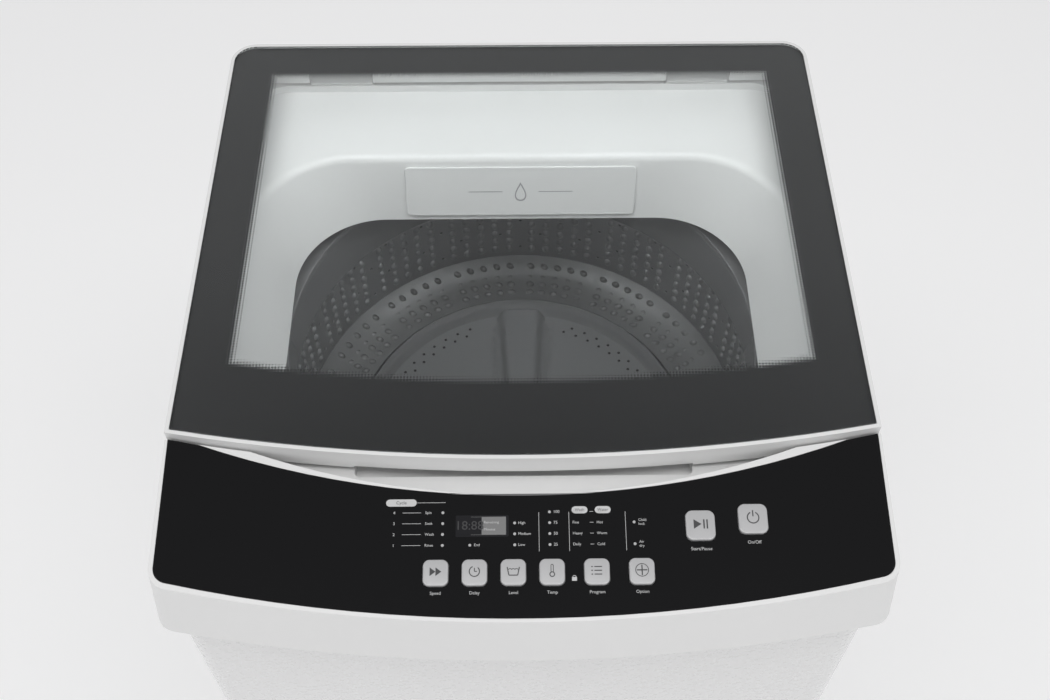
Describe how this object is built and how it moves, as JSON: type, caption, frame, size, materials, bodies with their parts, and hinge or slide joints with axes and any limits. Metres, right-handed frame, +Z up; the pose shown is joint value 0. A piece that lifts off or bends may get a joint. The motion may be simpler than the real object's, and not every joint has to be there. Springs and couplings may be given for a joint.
{
  "type": "top load washing machine",
  "caption": "Compact white top load washing machine with a clear glass lid, a black bowed control panel, a steel basket and a pulsator.",
  "frame": {"origin": "on the floor under the middle of the footprint", "axes": "+Z up, the control panel and front face -Y, +X to the right seen from the front"},
  "size_m": [0.526, 0.55, 0.9],
  "materials": {
    "white_plastic": "satin white moulding",
    "panel_black": "gloss black",
    "display_dark": "smoked window",
    "grey_plastic": "light grey moulding",
    "lamp_red": "clear light guide",
    "board_green": "solder resist",
    "steel_white": "white enamel",
    "zinc_steel": "zinc plated sheet",
    "bare_steel": "turned steel",
    "drum_steel": "stainless sheet",
    "lid_glass": "clear toughened glass",
    "black_rubber": "matt rubber",
    "button_grey": "silver grey",
    "chrome_trim": "bright plated",
    "cast_aluminium": "as cast",
    "dark_plastic": "dark grey moulding"
  },
  "bodies": {
    "cabinet": {"top_cover": "white_plastic", "control_fascia": "panel_black", "display_lens": "display_dark", "board_parts": "grey_plastic", "lamp_guides": "lamp_red", "control_board": "board_green", "control_tray": "grey_plastic", "hinge_blocks": "white_plastic", "lid_bumpers": "black_rubber", "lid_switch": "grey_plastic", "inlet_box_cover": "white_plastic", "inlet_box": "grey_plastic", "inlet_valves": "grey_plastic", "cabinet_shell": "steel_white", "rear_panel": "zinc_steel", "rear_screws": "bare_steel", "cord_gland": "grey_plastic", "base_frame": "white_plastic", "rear_feet": "black_rubber", "corner_hangers": "zinc_steel", "suspension_rods": "bare_steel", "rod_caps": "dark_plastic", "drain_elbow": "black_rubber", "electrical_parts": "grey_plastic", "suspension_springs": "bare_steel", "drain_hose": "black_rubber"},
    "lid": {"lid_frame": "white_plastic", "lid_glass": "lid_glass", "glass_bond": "black_rubber", "hinge_pins": "bare_steel", "lid_magnet": "bare_steel"},
    "tub": {"outer_tub": "grey_plastic", "tub_cover": "grey_plastic", "tub_seal": "black_rubber", "clutch_housing": "cast_aluminium", "motor_bracket": "zinc_steel", "motor_case": "cast_aluminium", "drive_belt": "black_rubber", "drain_valve": "grey_plastic"},
    "basket": {"basket_wall": "drum_steel", "basket_base": "grey_plastic", "balance_ring": "grey_plastic", "spin_tube": "bare_steel"},
    "pulsator": {"pulsator": "grey_plastic", "pulsator_cap": "chrome_trim", "drive_shaft": "bare_steel", "drive_pulley": "cast_aluminium"},
    "motor_rotor": {"motor_shaft": "bare_steel", "motor_pulley": "cast_aluminium"},
    "brake_lever": {"brake_lever": "bare_steel"},
    "foot_left": {"foot_front_left": "black_rubber"},
    "foot_right": {"foot_front_right": "black_rubber"},
    "button_speed": {"button_speed": "button_grey"},
    "button_delay": {"button_delay": "button_grey"},
    "button_level": {"button_level": "button_grey"},
    "button_temperature": {"button_temperature": "button_grey"},
    "button_programme": {"button_programme": "button_grey"},
    "button_option": {"button_option": "button_grey"},
    "button_start": {"button_start": "button_grey"},
    "button_power": {"button_power": "button_grey"}
  },
  "joints": [
    {"name": "lid_hinge", "type": "hinge", "parent": "cabinet", "child": "lid", "pos_m": [0, 0.262, 0.886], "axis": [-1, 0, 0], "range_deg": [0, 88]},
    {"name": "tub_float", "type": "slide", "parent": "cabinet", "child": "tub", "axis": [0, 0, 1], "range_m": [-0.015, 0.01], "stiffness_N_per_m": 12000, "springref_m": 0.0114, "deforming": ["suspension_springs", "drain_hose"]},
    {"name": "basket_spin", "type": "hinge", "parent": "tub", "child": "basket", "pos_m": [0, 0.031, 0.6], "axis": [0, 0, 1], "continuous": true},
    {"name": "pulsator_spin", "type": "hinge", "parent": "tub", "child": "pulsator", "pos_m": [0, 0.031, 0.6], "axis": [0, 0, 1], "continuous": true},
    {"name": "motor_spin", "type": "hinge", "parent": "tub", "child": "motor_rotor", "pos_m": [0.15, 0.031, 0.5], "axis": [0, 0, 1], "continuous": true},
    {"name": "brake_release", "type": "hinge", "parent": "tub", "child": "brake_lever", "pos_m": [-0.072, 0.031, 0.5], "axis": [0, 0, -1], "range_deg": [0, 16], "stiffness_Nm_per_rad": 0.4},
    {"name": "foot_left_turn", "type": "hinge", "parent": "cabinet", "child": "foot_left", "pos_m": [-0.213, -0.1985, 0.02], "axis": [0, 0, 1], "continuous": true},
    {"name": "foot_right_turn", "type": "hinge", "parent": "cabinet", "child": "foot_right", "pos_m": [0.213, -0.1985, 0.02], "axis": [0, 0, 1], "continuous": true},
    {"name": "press_speed", "type": "slide", "parent": "cabinet", "child": "button_speed", "axis": [0, 0.1771, -0.9842], "range_m": [0, 0.0012], "stiffness_N_per_m": 400, "springref_m": -0.0005},
    {"name": "press_delay", "type": "slide", "parent": "cabinet", "child": "button_delay", "axis": [0, 0.1771, -0.9842], "range_m": [0, 0.0012], "stiffness_N_per_m": 400, "springref_m": -0.0005},
    {"name": "press_level", "type": "slide", "parent": "cabinet", "child": "button_level", "axis": [0, 0.1771, -0.9842], "range_m": [0, 0.0012], "stiffness_N_per_m": 400, "springref_m": -0.0005},
    {"name": "press_temperature", "type": "slide", "parent": "cabinet", "child": "button_temperature", "axis": [0, 0.1771, -0.9842], "range_m": [0, 0.0012], "stiffness_N_per_m": 400, "springref_m": -0.0005},
    {"name": "press_programme", "type": "slide", "parent": "cabinet", "child": "button_programme", "axis": [0, 0.1771, -0.9842], "range_m": [0, 0.0012], "stiffness_N_per_m": 400, "springref_m": -0.0005},
    {"name": "press_option", "type": "slide", "parent": "cabinet", "child": "button_option", "axis": [0, 0.1771, -0.9842], "range_m": [0, 0.0012], "stiffness_N_per_m": 400, "springref_m": -0.0005},
    {"name": "press_start", "type": "slide", "parent": "cabinet", "child": "button_start", "axis": [0, 0.1771, -0.9842], "range_m": [0, 0.0012], "stiffness_N_per_m": 400, "springref_m": -0.0005},
    {"name": "press_power", "type": "slide", "parent": "cabinet", "child": "button_power", "axis": [0, 0.1771, -0.9842], "range_m": [0, 0.0012], "stiffness_N_per_m": 400, "springref_m": -0.0005}
  ],
  "couplings": [
    {"joint": "motor_spin", "follows": "pulsator_spin", "ratio": 2.5}
  ]
}
